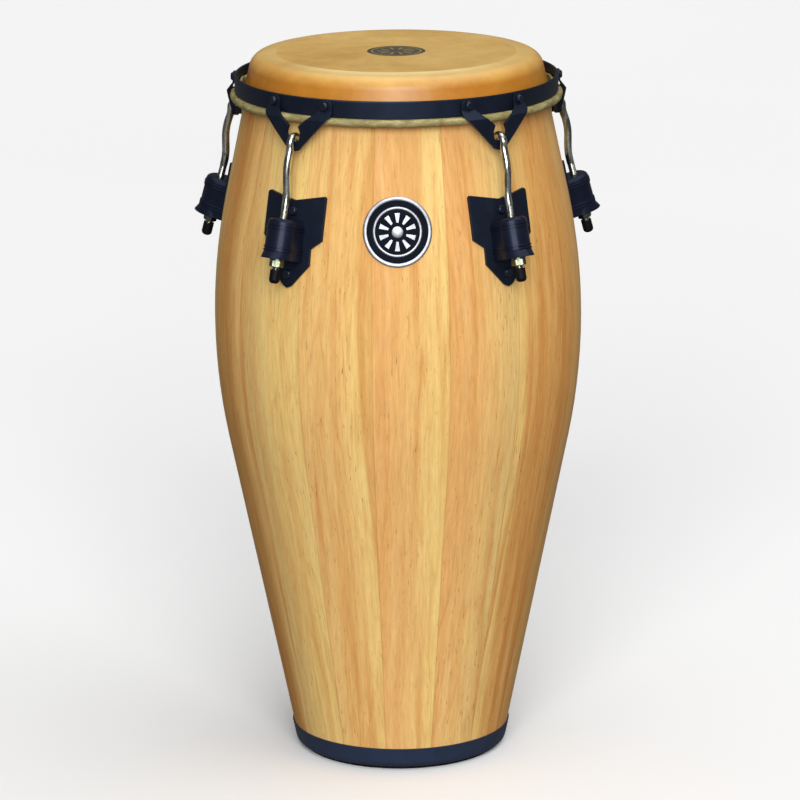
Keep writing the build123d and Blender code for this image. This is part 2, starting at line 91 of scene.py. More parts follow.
LUG_AZIMUTHS = [-36.0, 36.0, 108.0, 180.0, 252.0]
ROD_TILT = radians(15.5)
ROD_RADIUS = 4.0
ROD_BEND_REACH = 190.5
ROD_BEND_HEIGHT = 630.0
HOOK_INNER_LEG = 169.95
HOOK_OUTER_LEG = 183.95
HOOK_SPRING = 682.0
ROD_CRANK = 660.0
HOOK_END = 676.0
ROD_END = 87.0
ROD_HOOK_DROP = 5.0             # straight part between the hook's arc and its first bend
ROD_BEND_ROUNDS = (24.0, 60.0, 60.0)
THREAD_PITCH = 1.25
THREAD_DEPTH = 0.62
THREAD_START = 2.0              # below the rod's last bend
THREAD_FADE = 3.0               # length over which it reaches its full depth
THREAD_STEPS = 5                # rows of vertices in one pitch

BADGE_HEIGHT = 597.0
BADGE_RADIUS = 35.4
BADGE_RIM_INNER = 31.4
BADGE_RING = (22.6, 25.4)       # inner and outer radius
BADGE_BOSS_RADIUS = 6.0
BADGE_RAY_SPAN = (9.5, 19.0)    # radius at a ray's two ends
BADGE_RAY_HALF = (1.1, 2.6)     # half its width at each end
BADGE_RAY_LIFT = (0.8, 1.08)    # of its foot and its face, off the wood


# ---------------------------------------------------------------- small geometry helpers
def outward(azimuth):
    """Level direction away from the axis, turned from -Y towards +X, azimuth in degrees."""
    return Vector((sin(radians(azimuth)), -cos(radians(azimuth)), 0))


def wall_radius(height, lift=0.0):
    """Radius of the shell's outer face at a height, lifted off the wood."""
    reach = BELLY_CURVE + lift
    rise = height - BELLY_HEIGHT
    lean = min(max(asin(rise / reach), -LOWER_LEAN), UPPER_LEAN)
    return BELLY_RADIUS - BELLY_CURVE + (reach - rise * sin(lean)) / cos(lean)


def new_piece(name, vertices, faces, material, smooth_below=40.0):
    """A mesh piece from vertices in millimetres, smooth except across sharp edges."""
    mesh = bpy.data.meshes.new(name)
    mesh.from_pydata([Vector(v) * MM for v in vertices], [], faces)
    mesh.validate()
    for polygon in mesh.polygons:
        polygon.use_smooth = True
    mesh.set_sharp_from_angle(angle=radians(smooth_below))
    mesh.materials.append(material)
    piece = bpy.data.objects.new(name, mesh)
    bpy.context.scene.collection.objects.link(piece)
    return piece


def turned(profile, segments, shape):
    """Vertices of a (radius, height) outline turned about the drum's axis. shape moves each point:
    it is given the azimuth, the index along the outline, the radius and the height."""
    vertices = []
    for turn in range(segments):
        azimuth = 360.0 * turn / segments
        for index, (radius, height) in enumerate(profile):
            radius, height = shape(azimuth, index, radius, height)
            spot = outward(azimuth) * radius
            vertices.append((spot.x, spot.y, height))
    return vertices


def quads(rows, columns, close_rows=True, close_columns=True):
    """Faces over a grid of vertices, which may close on itself either way."""
    faces = []
    for row in range(rows if close_rows else rows - 1):
        here = row * columns
        there = (row + 1) % rows * columns
        for index in range(columns if close_columns else columns - 1):
            after = (index + 1) % columns
            faces.append((here + index, there + index, there + after, here + after))
    return faces


def arc_points(centre, radius, start, end, count):
    """Points on an arc in the (radius, height) half-plane, angles in degrees from level."""
    angles = [radians(start + (end - start) * step / count) for step in range(count + 1)]
    return [(centre[0] + radius * cos(a), centre[1] + radius * sin(a)) for a in angles]


# ---------------------------------------------------------------- node material helper
class Shader:
    """One node material: a Principled surface and short calls that add the nodes feeding it."""

    def __init__(self, name):
        self.material = bpy.data.materials.new(name)
        self.material.use_nodes = True
        self.tree = self.material.node_tree
        self.tree.nodes.clear()
        self.surface = self.tree.nodes.new("ShaderNodeBsdfPrincipled")
        output = self.tree.nodes.new("ShaderNodeOutputMaterial")
        self.tree.links.new(self.surface.outputs["BSDF"], output.inputs["Surface"])
        place = self.tree.nodes.new("ShaderNodeTexCoord")
        self.position = place.outputs["Object"]

    def feed(self, socket, value):
        if isinstance(value, bpy.types.NodeSocket):
            self.tree.links.new(value, socket)
        elif isinstance(value, tuple) and len(value) == 3 and socket.type == "RGBA":
            socket.default_value = (*value, 1.0)
        else:
            socket.default_value = value

    def set(self, **values):
        for name, value in values.items():
            self.feed(self.surface.inputs[name.replace("_", " ")], value)

    def math(self, operation, *values, clamp=False):
        node = self.tree.nodes.new("ShaderNodeMath")
        node.operation = operation
        node.use_clamp = clamp
        for socket, value in zip(node.inputs, values):
            self.feed(socket, value)
        return node.outputs[0]

    def dot(self, vector, direction):
        node = self.tree.nodes.new("ShaderNodeVectorMath")
        node.operation = "DOT_PRODUCT"
        self.feed(node.inputs[0], vector)
        node.inputs[1].default_value = direction
        return node.outputs["Value"]

    def split(self, vector):
        node = self.tree.nodes.new("ShaderNodeSeparateXYZ")
        self.feed(node.inputs[0], vector)
        return node.outputs

    def vector(self, x, y, z):
        node = self.tree.nodes.new("ShaderNodeCombineXYZ")
        for socket, value in zip(node.inputs, (x, y, z)):
            self.feed(socket, value)
        return node.outputs[0]

    def scaled(self, vector, x, y, z):
        node = self.tree.nodes.new("ShaderNodeVectorMath")
        node.operation = "MULTIPLY"
        self.feed(node.inputs[0], vector)
        node.inputs[1].default_value = (x, y, z)
        return node.outputs[0]

    def noise(self, vector, scale, detail=3.0, roughness=0.55, distortion=0.0, seed=0.0):
        node = self.tree.nodes.new("ShaderNodeTexNoise")
        node.noise_dimensions = "4D"
        self.feed(node.inputs["Vector"], vector)
        node.inputs["W"].default_value = seed
        node.inputs["Scale"].default_value = scale
        node.inputs["Detail"].default_value = detail
        node.inputs["Roughness"].default_value = roughness
        node.inputs["Distortion"].default_value = distortion
        return node.outputs["Fac"]

    def along(self, value, start, end):
        """Grows from 0 where the value is start to 1 where it is end."""
        return self.math("MULTIPLY_ADD", value, 1 / (end - start), -start / (end - start))

    def ramp(self, value, stops):
        """stops are (position, colour or grey)."""
        node = self.tree.nodes.new("ShaderNodeValToRGB")
        node.color_ramp.interpolation = "LINEAR"
        self.feed(node.inputs[0], value)
        elements = node.color_ramp.elements
        while len(elements) < len(stops):
            elements.new(0.5)
        for element, (position, colour) in zip(elements, stops):
            element.position = position
            level = colour if isinstance(colour, tuple) else (colour, colour, colour)
            element.color = (*level, 1.0)
        return node.outputs["Color"]

    def mix(self, amount, first, second, blend="MIX"):
        node = self.tree.nodes.new("ShaderNodeMix")
        node.data_type = "RGBA"
        node.blend_type = blend
        self.feed(node.inputs["Factor"], amount)
        self.feed(node.inputs[6], first)
        self.feed(node.inputs[7], second)
        return node.outputs[2]

    def bump(self, height, strength, distance, edge=0.0):
        """Surface relief from a height, with sharp edges softened over the edge radius."""
        node = self.tree.nodes.new("ShaderNodeBump")
        if edge:
            bevel = self.tree.nodes.new("ShaderNodeBevel")
            bevel.inputs["Radius"].default_value = edge
            self.feed(node.inputs["Normal"], bevel.outputs[0])
        node.inputs["Strength"].default_value = strength
        node.inputs["Distance"].default_value = distance
        self.feed(node.inputs["Height"], height)
        self.feed(self.surface.inputs["Normal"], node.outputs[0])


def tone(red, green, blue):
    """A colour as 0 to 255 display values, turned into the linear values a shader wants."""
    linear = []
    for part in (red, green, blue):
        level = part / 255
        linear.append(level / 12.92 if level <= 0.04045 else ((level + 0.055) / 1.055) ** 2.4)
    return tuple(linear)


# ---------------------------------------------------------------- wood
PALE = tone(242, 210, 142)
YELLOW = tone(237, 202, 126)
HONEY = tone(233, 189, 119)
ROSE = tone(229, 175, 109)
AMBER = tone(221, 164, 93)
UMBER = tone(204, 150, 82)
OLIVE = tone(226, 192, 123)
RUST = tone(202, 130, 64)
PORE = tone(146, 82, 34)

# left edge, middle and right edge of each stave, going round from the one behind the badge,
# with how strongly the stave is streaked
STAVE_TONES = [
    (ROSE, HONEY, YELLOW, 0.8),
    (ROSE, HONEY, OLIVE, 0.9),
    (YELLOW, AMBER, AMBER, 1.4),
    (AMBER, HONEY, ROSE, 0.9),
    (AMBER, HONEY, YELLOW, 1.2),
    (HONEY, OLIVE, HONEY, 0.7),
    (ROSE, AMBER, HONEY, 1.3),
    (PALE, HONEY, ROSE, 0.8),
    (HONEY, YELLOW, OLIVE, 1.0),
    (AMBER, ROSE, HONEY, 1.4),
    (OLIVE, HONEY, AMBER, 0.9),
    (HONEY, ROSE, YELLOW, 1.0),
    (AMBER, UMBER, HONEY, 1.2),
    (OLIVE, YELLOW, YELLOW, 0.7),
    (HONEY, HONEY, YELLOW, 1.2),
]

# noise fields of the wood: cells in a metre across the grain and along it, detail, roughness,
# distortion, and what is added to the stave's seed
GRAIN = {
    "wander": (6.0, 3.2, 2.0, 0.5, 0.0, 0.0),
    "waver": (60.0, 38.0, 2.0, 0.5, 0.0, 9.0),
    "bands": (75.0, 2.6, 3.0, 0.62, 0.35, 1.0),
    "heart": (52.0, 1.7, 2.0, 0.55, 0.25, 7.5),
    "slow": (20.0, 1.5, 3.0, 0.5, 0.25, 2.0),
    "streak": (300.0, 17.0, 3.0, 0.65, 0.3, 4.0),
    "where": (34.0, 5.0, 2.0, 0.5, 0.0, 6.0),
    "fibre": (520.0, 42.0, 3.0, 0.65, 0.2, 3.0),
    "pore": (800.0, 85.0, 1.0, 0.5, 0.0, 5.0),
}
STAVE_SEED = 3.7                # step of the seed from one stave to the next
WANDER = 0.016                  # metres from side to side
WAVER = 0.0028
GROWTH_LINES = 13.0             # contour lines in one unit of the slow field
GLUE_LINE = 0.0009              # metres


def wood_material(number):
    """Lacquered hardwood for one stave: grain runs up the stave and follows its taper."""
    middle = FIRST_JOINT + (number + 0.5) * STAVE_ARC
    left, centre, right, streaky = STAVE_TONES[number]
    wood = Shader(f"stave_wood_{number + 1:02d}")

    def figure(field, vector):
        across_grain, along_grain, detail, roughness, distortion, offset = GRAIN[field]
        stretched = wood.scaled(vector, across_grain, 0.0, along_grain)
        return wood.noise(stretched, 1.0, detail, roughness, distortion, STAVE_SEED * number + offset)

    out = outward(middle)
    along_out = wood.dot(wood.position, out)
    along_side = wood.dot(wood.position, (-out.y, out.x, 0))
    height = wood.split(wood.position)[2]
    radius = wood.math("SQRT", wood.math("ADD", wood.math("POWER", along_out, 2.0),
                                         wood.math("POWER", along_side, 2.0)))
    across = wood.math("MULTIPLY", wood.math("ARCTAN2", along_side, along_out), radius)

    # slow wander and a fine waver, so that no grain line is ruler straight
    board = wood.vector(across, radius, height)
    wander = wood.math("SUBTRACT", figure("wander", board), 0.5)
    waver = wood.math("SUBTRACT", figure("waver", board), 0.5)
    drift = wood.math("ADD", wood.math("MULTIPLY", wander, WANDER), wood.math("MULTIPLY", waver, WAVER))
    drifted = wood.math("ADD", across, drift)
    grain = wood.vector(drifted, radius, height)

    # broad tone across the board, and soft darker and paler bands in it
    place = wood.along(drifted, -STAVE_WIDTH / 2 * MM, STAVE_WIDTH / 2 * MM)
    base = wood.ramp(place, [(0.0, left), (0.2, left), (0.55, centre), (0.84, right), (1.0, right)])
    bands = figure("bands", grain)
    colour = wood.mix(wood.ramp(bands, [(0.50, 0.0), (0.72, 0.55)]), base, AMBER)
    colour = wood.mix(wood.ramp(bands, [(0.28, 0.5), (0.47, 0.0)]), colour, PALE)

    # broad reddish streaks that run most of the way up the more streaky staves
    heart = wood.ramp(figure("heart", grain), [(0.52, 0.0), (0.66, 0.50 * streaky)])
    colour = wood.mix(heart, colour, RUST)

    # growth figure: thin contour lines of a slow field
    rings = wood.math("FRACT", wood.math("MULTIPLY", figure("slow", grain), GROWTH_LINES))
    line = wood.ramp(rings, [(0.0, 0.15), (0.62, 0.0), (0.90, 1.0), (1.0, 0.15)])
    colour = wood.mix(wood.math("MULTIPLY", line, 0.26), colour, RUST)

    # streaks, fibre and pores, each about ten times as long as wide
    streak = figure("streak", grain)
    where = figure("where", grain)
    patchy = wood.math("MULTIPLY", wood.ramp(streak, [(0.52, 0.0), (0.66, 1.0)]),
                       wood.ramp(where, [(0.40, 0.15), (0.62, 1.0)]))
    colour = wood.mix(wood.math("MULTIPLY", patchy, 0.50 * streaky, clamp=True), colour, RUST)
    fibre = figure("fibre", grain)
    shade = wood.ramp(fibre, [(0.25, 0.80), (0.5, 1.0), (0.75, 1.16)])
    colour = wood.mix(0.8, colour, shade, "MULTIPLY")
    pore_mask = wood.math("MULTIPLY", wood.ramp(figure("pore", grain), [(0.66, 0.0), (0.73, 1.0)]),
                          wood.ramp(where, [(0.36, 0.35), (0.60, 1.0)]))
    colour = wood.mix(wood.math("MULTIPLY", pore_mask, 0.68), colour, PORE)

    # the glued joints at both edges of the stave
    half = radians(STAVE_ARC / 2)
    edge = wood.math("SUBTRACT", wood.math("MULTIPLY", radius, half), wood.math("ABSOLUTE", across))
    joint = wood.ramp(wood.math("DIVIDE", edge, GLUE_LINE), [(0.0, 1.0), (1.0, 0.0)])
    colour = wood.mix(wood.math("MULTIPLY", joint, 0.30), colour, PORE)

    wood.set(
        Base_Color=colour,
        Roughness=wood.ramp(streak, [(0.3, 0.42), (0.8, 0.54)]),
        Specular_IOR_Level=0.06,
    )
    relief = wood.math("ADD", wood.math("MULTIPLY", fibre, 0.6),
                       wood.math("MULTIPLY", pore_mask, -0.8))
    wood.bump(wood.math("SUBTRACT", relief, joint), 0.22, 0.0003)
    return wood.material


# ---------------------------------------------------------------- metals and rubber
def black_coat(name, base, roughness, speck, gloss=0.35, lacquer=0.1):
    """Glossy black finish with the slight orange peel of a sprayed or powder coat."""
    coat = Shader(name)
    peel = coat.noise(coat.position, 900.0, 2.0, 0.5)
    dust = coat.noise(coat.position, 60.0, 4.0, 0.6, 0.0, 4.0)
    coat.set(
        Base_Color=coat.mix(coat.ramp(dust, [(0.45, 0.0), (0.75, 0.5)]), base, tone(24, 28, 44)),
        Roughness=coat.ramp(dust, [(0.3, roughness), (0.8, roughness + 0.10)]),
        Specular_IOR_Level=gloss,
        Specular_Tint=tone(165, 185, 230),
        Coat_Weight=lacquer,
        Coat_Roughness=0.16,
    )
    coat.bump(peel, speck, 0.0004, 0.0009)
    return coat.material


PAINTED_REFLECTION_TONE = (0.060, 0.068, 0.052)   # colour of the dark streaks in bright metal, a painted reflection of dark surroundings


def plated(name, bright, dull, roughness, streaks=0.0, grit=420.0):
    """Plated steel: bright metal with fine scuffs, duller patches and dark streaks up it that are
    painted reflection.
    """
    metal = Shader(name)
    scuff = metal.noise(metal.position, grit, 3.0, 0.6)
    patch = metal.noise(metal.position, 90.0, 3.0, 0.6, 0.2, 2.0)
    reflection_streak_noise = metal.noise(metal.scaled(metal.position, 300.0, 300.0, 42.0), 1.0, 2.0, 0.5, 0.4, 6.0)
    colour = metal.mix(metal.ramp(patch, [(0.35, 0.0), (0.75, 1.0)]), bright, dull)
    # painted reflection: dark streaks up the metal stand in for dark surroundings mirrored in it
    colour = metal.mix(metal.ramp(reflection_streak_noise, [(0.46, 0.0), (0.56, streaks)]), colour, PAINTED_REFLECTION_TONE)
    metal.set(
        Base_Color=colour,
        Roughness=metal.ramp(scuff, [(0.3, roughness), (0.8, roughness + 0.16)]),
        Metallic=1.0,
    )
    metal.bump(scuff, 0.10, 0.0002, 0.0004)
    return metal.material


def rubber_material():
    """Black rubber with a faint bloom."""
    rubber = Shader("black_rubber")
    grain = rubber.noise(rubber.position, 1400.0, 2.0, 0.5)
    bloom = rubber.noise(rubber.position, 70.0, 3.0, 0.6, 0.0, 3.0)
    worn = rubber.ramp(bloom, [(0.4, 0.0), (0.8, 0.6)])
    rubber.set(
        Base_Color=rubber.mix(worn, (0.003, 0.003, 0.005), (0.010, 0.010, 0.013)),
        Roughness=rubber.ramp(bloom, [(0.3, 0.50), (0.8, 0.66)]),
        Specular_IOR_Level=0.12,
    )
    rubber.bump(grain, 0.25, 0.0003)
    return rubber.material


# ---------------------------------------------------------------- hide
HIDE_TOP = (tone(205, 159, 79), tone(224, 183, 101), tone(241, 204, 127))
HIDE_SIDE = (tone(174, 103, 21), tone(194, 128, 37), tone(210, 148, 57))
# colour of the painted highlight on the shoulder
SHOULDER_HIGHLIGHT_TONE = tone(253, 226, 160)
EDGE_TONES = (tone(112, 100, 58), tone(158, 148, 98), tone(204, 192, 140))
PRINT_INK = tone(46, 46, 44)
PRINT_SECOND_INK = tone(136, 132, 84)


def hide_material():
    """Rawhide head: tan and mottled on top, more orange down the collar, with a printed disc and a
    painted highlight on the front of the shoulder.
    """
    hide = Shader("rawhide")
    x, y, z = hide.split(hide.position)
    radius = hide.math("SQRT", hide.math("ADD", hide.math("POWER", x, 2.0),
                                         hide.math("POWER", y, 2.0)))
    turn = hide.math("ARCTAN2", x, hide.math("MULTIPLY", y, -1.0))

    cloud = hide.noise(hide.position, 9.0, 5.0, 0.62, 0.4)
    vein = hide.noise(hide.position, 38.0, 4.0, 0.65, 1.2, 5.0)
    pores = hide.noise(hide.position, 900.0, 2.0, 0.5, 0.0, 7.0)
    mottle = (0.28, 0.5, 0.75)
    top = hide.ramp(cloud, list(zip(mottle, HIDE_TOP)))
    side = hide.ramp(cloud, list(zip(mottle, HIDE_SIDE)))
    down = hide.along(z, HIDE_FADE[0] * MM, HIDE_FADE[1] * MM)
    down = hide.ramp(down, [(0.0, 0.0), (0.55, 1.0)])
    colour = hide.mix(down, top, side)
    colour = hide.mix(0.5, colour, hide.ramp(vein, [(0.35, 0.88), (0.6, 1.04)]), "MULTIPLY")
    colour = hide.mix(0.4, colour, hide.ramp(pores, [(0.3, 0.90), (0.6, 1.03)]), "MULTIPLY")

    # painted highlight: a paler band round the shoulder, standing in for the light caught there
    reach = 200.0
    stops = [(edge / reach, share) for edge, share in zip(SHOULDER_HIGHLIGHT_RADII, (0.0, 0.95, 0.40, 0.0))]
    painted_highlight_band = hide.ramp(hide.math("MULTIPLY", radius, 1 / (reach * MM)), stops)
    # the painted highlight is full at the front and fades towards the sides
    front = hide.ramp(hide.math("ABSOLUTE", turn), [(0.5, 1.0), (1.5, 0.22)])
    colour = hide.mix(hide.math("MULTIPLY", painted_highlight_band, front), colour, SHOULDER_HIGHLIGHT_TONE)

    # printed mark: a dark disc with a thin ring and ten short rays in a second ink
    flat = hide.math("GREATER_THAN", z, PRINT_FLOOR * MM)
    disc = hide.math("LESS_THAN", radius, PRINT_RADIUS * MM)
    ring = hide.math("COMPARE", radius, PRINT_RING[0] * MM, PRINT_RING[1] * MM)
    wave = hide.math("FRACT", hide.math("MULTIPLY", turn, MARK_RAYS / (2 * pi)))
    ray = hide.math("COMPARE", wave, 0.5, 0.16)
    length = hide.math("COMPARE", radius, PRINT_RAY[0] * MM, PRINT_RAY[1] * MM)
    second = hide.math("MAXIMUM", ring, hide.math("MULTIPLY", ray, length))
    worn = hide.math("MULTIPLY", hide.math("MULTIPLY", disc, flat),
                     hide.ramp(vein, [(0.3, 0.84), (0.6, 0.96)]))
    colour = hide.mix(worn, colour, hide.mix(second, PRINT_INK, PRINT_SECOND_INK))

    hide.set(
        Base_Color=colour,
        Roughness=hide.ramp(vein, [(0.3, 0.36), (0.7, 0.50)]),
        Subsurface_Weight=0.12,
        Subsurface_Scale=0.004,
        Coat_Weight=0.15,
        Coat_Roughness=0.25,
    )
    hide.surface.inputs["Subsurface Radius"].default_value = (1.0, 0.5, 0.2)
    hide.bump(hide.math("ADD", vein, hide.math("MULTIPLY", pores, 0.5)), 0.20, 0.0006)
    return hide.material


def hide_edge_material():
    """Rolled and trimmed hide: paler, yellow-green and speckled, with painted shade darkening the
    roll's underside.
    """
    edge = Shader("rawhide_edge")
    z = edge.split(edge.position)[2]
    stretched = edge.scaled(edge.position, 1.0, 1.0, 2.2)
    cloud = edge.noise(stretched, 55.0, 4.0, 0.65, 0.8)
    fleck = edge.noise(stretched, 420.0, 3.0, 0.6, 0.0, 3.0)
    colour = edge.ramp(cloud, list(zip((0.30, 0.52, 0.75), EDGE_TONES)))
    colour = edge.mix(edge.ramp(fleck, [(0.58, 0.0), (0.70, 0.8)]), colour, tone(112, 80, 40))
    # painted shade: the roll is darker towards its underside
    painted_underside_shade = edge.along(z, EDGE_SHADE[0] * MM, EDGE_SHADE[1] * MM)
    painted_underside_shade = edge.ramp(painted_underside_shade, [(0.0, 0.75), (1.0, 0.0)])
    colour = edge.mix(painted_underside_shade, colour, tone(140, 100, 52))
    edge.set(
        Base_Color=colour,
        Roughness=edge.ramp(cloud, [(0.3, 0.50), (0.7, 0.70)]),
        Specular_IOR_Level=0.35,
    )
    edge.bump(edge.math("ADD", cloud, fleck), 0.5, 0.0012)
    return edge.material


BLACK = black_coat("black_steel", (0.0042, 0.0065, 0.0125), 0.40, 0.08, 0.55, 0.0)
# black enamel with a navy base colour that is painted sheen, standing in for the blue reflection across
# the band
BAND_COAT_PAINTED_SHEEN = black_coat("black_enamel_painted_blue_sheen", (0.020, 0.029, 0.058), 0.42, 0.06, 0.75, 0.0)
CASTING = black_coat("black_casting", (0.0045, 0.006, 0.015), 0.36, 0.22)
CHROME = plated("chrome", (0.86, 0.88, 0.82), (0.60, 0.62, 0.56), 0.16, 0.7)
ZINC = plated("yellow_zinc", (0.27, 0.30, 0.21), (0.11, 0.13, 0.08), 0.24, 0.6)
STEEL = plated("plain_steel", tone(176, 178, 182), tone(128, 130, 134), 0.34)
RIVET = black_coat("black_rivet", (0.006, 0.008, 0.014), 0.18, 0.04, 0.8, 0.2)
RUBBER = rubber_material()
HIDE = hide_material()
HIDE_EDGE = hide_edge_material()


def paint(node, material):
    """Give a CAD node a material in every slot it has."""
    data = NODES[node].data
    if not data.materials:
        data.materials.append(material)
    for index in range(len(data.materials)):
        data.materials[index] = material


for number in range(STAVE_COUNT):
    paint(f"stave_{number + 1:02d}", wood_material(number))
paint("tension_ring", BLACK)
paint("bottom_band", BAND_COAT_PAINTED_SHEEN)
for node in ("hook_rivets", "bracket_bolts"):
    paint(node, RIVET)
for node in ("flesh_hoop_wire", "backing_plates", "bracket_nuts"):
    paint(node, STEEL)
paint("foot_ring", RUBBER)
paint("nut_washers", ZINC)
for number in range(1, len(LUG_AZIMUTHS) + 1):
    paint(f"hook_plate_{number}", BLACK)
    paint(f"lug_plate_{number}", BLACK)
    paint(f"lug_barrel_{number}", CASTING)
    paint(f"tuning_nut_{number}", ZINC)
    paint(f"rod_cap_{number}", RUBBER)


# ---------------------------------------------------------------- drumhead
def rounded(before, corner, after, radius, count):
    """Points on the arc that rounds a corner of a (radius, height) outline."""
    before, corner, after = Vector(before), Vector(corner), Vector(after)
    into = (corner - before).normalized()
    out = (after - corner).normalized()
    turn = into.angle_signed(out)
    start = corner - into * radius * tan(abs(turn) / 2)
    side = Vector((into.y, -into.x)) * (1 if turn > 0 else -1)
    middle = start + side * radius
    arm = start - middle
    points = []
    for step in range(count + 1):
        spin = -turn * step / count
        points.append(middle + Vector((arm.x * cos(spin) - arm.y * sin(spin),
                                       arm.x * sin(spin) + arm.y * cos(spin))))
    return points


def collar(start, lift):
    """Points from a height down the wall to the collar's hem."""
    heights = [start + (COLLAR_BOTTOM - start) * step / 16 for step in range(1, 17)]
    return [(wall_radius(height, lift), height) for height in heights]


def turned_hem(lift):
    """The hem's quarter turn outward under the collar, and its run to the rolled edge."""
    centre = (wall_radius(COLLAR_BOTTOM, SKIN) + HEM_COVE, COLLAR_BOTTOM)
    size = HEM_COVE + SKIN - lift
    return arc_points(centre, size, 195, 270, 6) + [(HEM_REACH, COLLAR_BOTTOM - size)]


def head_outline(lift, middle, corner, crown):
    """From the centre out over the shoulder and the crown, then down the collar."""
    flat = [(HEAD_FLAT * step / 30, middle) for step in range(1, 31)]
    hem = (wall_radius(COLLAR_BOTTOM, lift), COLLAR_BOTTOM)
    arc = rounded((HEAD_FLAT, middle), (wall_radius(corner, lift), corner), hem, crown, 14)
    slope = [tuple(Vector(flat[-1]).lerp(arc[0], step / 5)) for step in range(1, 5)]
    crest = [tuple(point) for point in arc]
    return flat + slope + crest + collar(arc[-1].y, lift) + turned_hem(lift)


def make_head():
    """The hide: level, sloping to the shoulder, round the crown and down to its hem, with pleats."""
    outer = head_outline(SKIN, HEAD_TOP, HEAD_CORNER, HEAD_ROUND)
    inner = head_outline(SKIN_GAP, HEAD_TOP - SKIN, SHELL_TOP + SKIN_GAP, CROWN_ROUND + SKIN_GAP)
    profile = outer + inner[::-1]
    count = len(profile)
    segments = 288

    def pleated(azimuth, index, radius, height):
        if index >= len(outer):
            return radius, height
        away = outward(azimuth)
        spot = away * radius
        sink = min(max((SHELL_TOP - height) / PLEAT_RUN, 0), 1)
        pleat = noise.noise(away * 7.0 + Vector((0, 0, height * 0.01)))
        pleat += 0.5 * noise.noise(away * 19.0 + Vector((3, 0, height * 0.015)))
        radius += sink * (0.25 + 0.9 * max(pleat, -0.3))
        top_wave = noise.noise(Vector((spot.x, spot.y, 0)) * 0.012)
        height -= 0.10 * abs(top_wave)
        return radius, height

    vertices = turned(profile, segments, pleated)
    faces = quads(segments, count, close_columns=False)
    upper = len(vertices)
    vertices.append((0, 0, outer[0][1]))
    lower = len(vertices)
    vertices.append((0, 0, inner[0][1]))
    for turn in range(segments):
        here = turn * count
        there = ((turn + 1) % segments) * count
        faces.append((upper, there, here))
        faces.append((lower, here + count - 1, there + count - 1))
    head = new_piece("head_skin", vertices, faces, HIDE, 60)
    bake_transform(head)
    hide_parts("drumhead_skin")


def make_tuck_roll():
    """The hide's edge: round the wire below the ring, then up inside it to a hand-trimmed edge."""
    roll = arc_points((ROLL_RADIUS, ROLL_HEIGHT), ROLL_SECTION, 40, -215, 22)
    outer_fall = [(TUCK_OUTER, RING_BOTTOM + 1.5 + step * 2.4) for step in reversed(range(4))]
    inner_rise = [(TUCK_INNER, TUCK_TOP - 0.6 - step * 2.6) for step in reversed(range(5))]
    brim = [
        (TUCK_INNER + 0.3, TUCK_TOP - 0.2),
        ((TUCK_OUTER + TUCK_INNER) / 2, TUCK_TOP),
        (TUCK_OUTER - 0.3, TUCK_TOP - 0.3),
    ]
    profile = outer_fall + [(RING_SEAT_OUT, RING_BOTTOM - 0.1)] + roll + inner_rise + brim
    segments = 360

    def lumpy(azimuth, index, radius, height):
        away = outward(azimuth)
        if height > RING_BOTTOM + 2:
            trim = noise.noise(away * 9.0) + 0.6 * noise.noise(away * 31.0)
            rise = (height - RING_BOTTOM) / (TUCK_TOP - RING_BOTTOM)
            height += rise * (1.6 * trim - 1.2)
            radius += rise * 0.7 * noise.noise(away * 13.0 + Vector((5, 0, 0)))
        elif height < RING_BOTTOM - 0.5:
            lump = noise.noise(away * 15.0 + Vector((0, 0, height * 0.12)))
            lump += 0.6 * noise.noise(away * 47.0 + Vector((0, 7, height * 0.3)))
            out = Vector((radius - ROLL_RADIUS, height - ROLL_HEIGHT)).normalized()
            radius += out.x * 0.45 * lump
            height += out.y * 0.35 * lump
        return radius, height

    faces = quads(segments, len(profile))
    roll_piece = new_piece("hide_roll", turned(profile, segments, lumpy), faces, HIDE_EDGE, 70)
    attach(roll_piece, "rim")
    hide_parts("skin_tuck_roll")


make_head()
make_tuck_roll()


# ---------------------------------------------------------------- tension rods
def rod_route():
    """Centre line of a rod down to its last bend, and its end point, both as (reach, height)."""
    bend = (HOOK_OUTER_LEG - HOOK_INNER_LEG) / 2
    centre = ((HOOK_OUTER_LEG + HOOK_INNER_LEG) / 2, HOOK_SPRING)
    corners = [
        Vector((HOOK_OUTER_LEG, HOOK_SPRING)),
        Vector((HOOK_OUTER_LEG, HOOK_SPRING - ROD_HOOK_DROP)),
        Vector((ROD_BEND_REACH, ROD_CRANK)),
        Vector((ROD_BEND_REACH, ROD_BEND_HEIGHT)),
        Vector((ROD_BEND_REACH + ROD_END * sin(ROD_TILT), ROD_BEND_HEIGHT - ROD_END * cos(ROD_TILT))),
    ]
    leg = HOOK_SPRING - HOOK_END
    route = [Vector((HOOK_INNER_LEG, HOOK_END + leg * step / 5)) for step in range(5)]
    route += [Vector(point) for point in arc_points(centre, bend, 180, 0, 20)]
    for before, corner, after, size in zip(corners, corners[1:], corners[2:], ROD_BEND_ROUNDS):
        route += rounded(before, corner, after, size, 10)
    return route, corners[-1]


